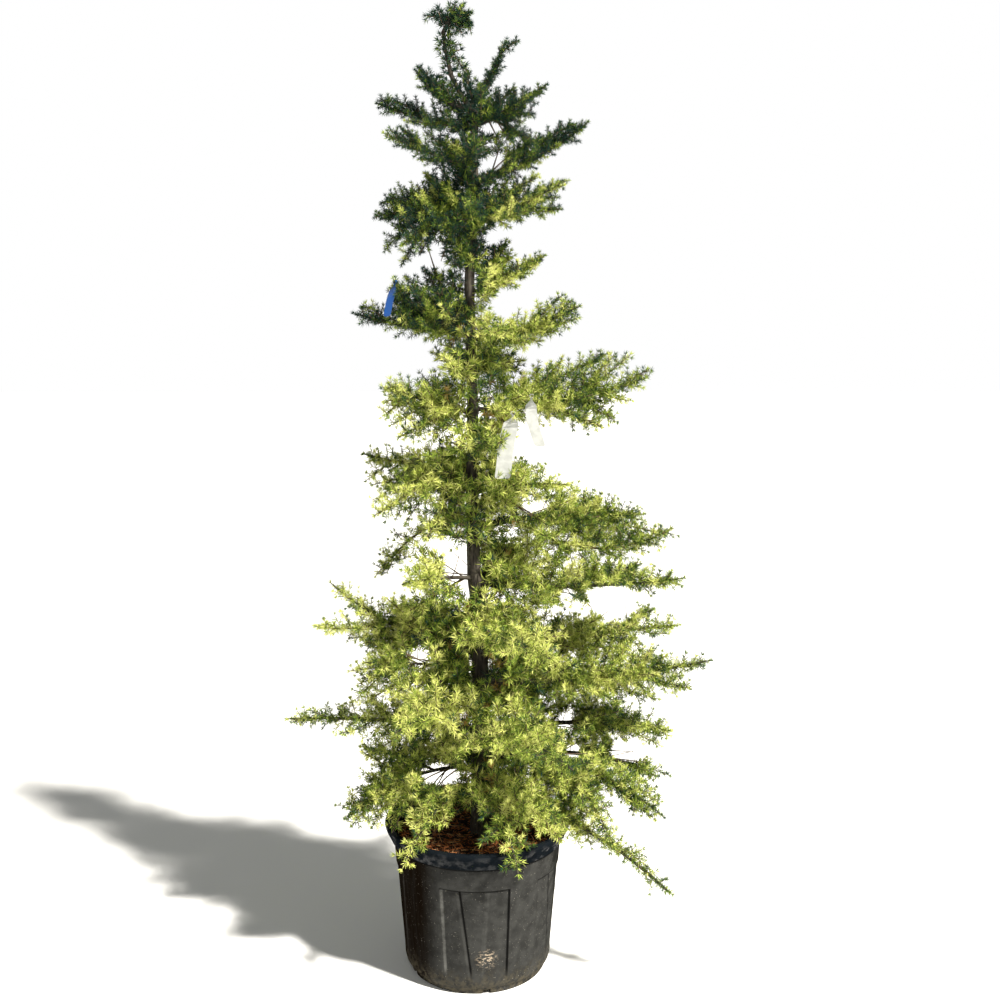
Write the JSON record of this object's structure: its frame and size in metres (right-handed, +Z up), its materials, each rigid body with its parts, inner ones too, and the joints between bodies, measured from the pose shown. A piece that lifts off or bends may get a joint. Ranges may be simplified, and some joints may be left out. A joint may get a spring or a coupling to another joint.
{
  "type": "potted young atlas cedar",
  "caption": "Young blue atlas cedar with a tall leaning leader and level, upswept boughs of bottlebrush needle shoots, in a round plastic nursery pot.",
  "frame": {"origin": "centre of the pot's flat underside", "axes": "+Z up the trunk, +X to the right in the front view, +Y to the back"},
  "size_m": [1.0752, 0.7622, 2.3617],
  "materials": {
    "pot": "dark charcoal blow-moulded plastic with a soft gloss, dusty near the foot",
    "bark_mulch": "shredded red-brown bark",
    "bark": "dark grey-brown bark, lightly fissured",
    "needles": "yellow-green needles, matt with a waxy sheen",
    "top_needles": "deeper blue-green needles of the upper crown",
    "tag": "blank white coated label"
  },
  "bodies": {
    "root": {"pot": "pot", "growing_medium": "bark_mulch", "trunk": "bark", "bough_left_10": "bark", "bough_left_7": "bark", "bough_left_9": "bark", "bough_right_10": "bark", "bough_right_3": "bark", "bough_right_4": "bark", "bough_right_5": "bark", "bough_right_6": "bark", "bough_right_7": "bark", "bough_right_8": "bark", "bough_right_9": "bark", "needles_back_2": "needles", "needles_back_3": "needles", "needles_back_4": "needles", "needles_back_5": "needles", "needles_back_6": "needles", "needles_back_7": "needles", "needles_back_8": "needles", "needles_crown_tip": "top_needles", "needles_front_2": "needles", "needles_front_3": "needles", "needles_front_4": "needles", "needles_front_5": "needles", "needles_front_6": "needles", "needles_front_7": "needles", "needles_front_8": "needles", "needles_front_9": "needles", "needles_left_10": "needles", "needles_left_11": "needles", "needles_left_12": "needles", "needles_left_13": "needles", "needles_left_14": "top_needles", "needles_left_15": "top_needles", "needles_left_16": "top_needles", "needles_left_17": "top_needles", "needles_left_6": "needles", "needles_left_7": "needles", "needles_left_8": "needles", "needles_left_9": "needles", "needles_right_10": "needles", "needles_right_11": "needles", "needles_right_12": "needles", "needles_right_13": "needles", "needles_right_14": "needles", "needles_right_15": "top_needles", "needles_right_16": "top_needles", "needles_right_17": "top_needles", "needles_right_3": "needles", "needles_right_4": "needles", "needles_right_5": "needles", "needles_right_6": "needles", "needles_right_7": "needles", "needles_right_8": "needles", "needles_right_9": "needles", "needles_second_leader": "top_needles"}
  },
  "joints": []
}
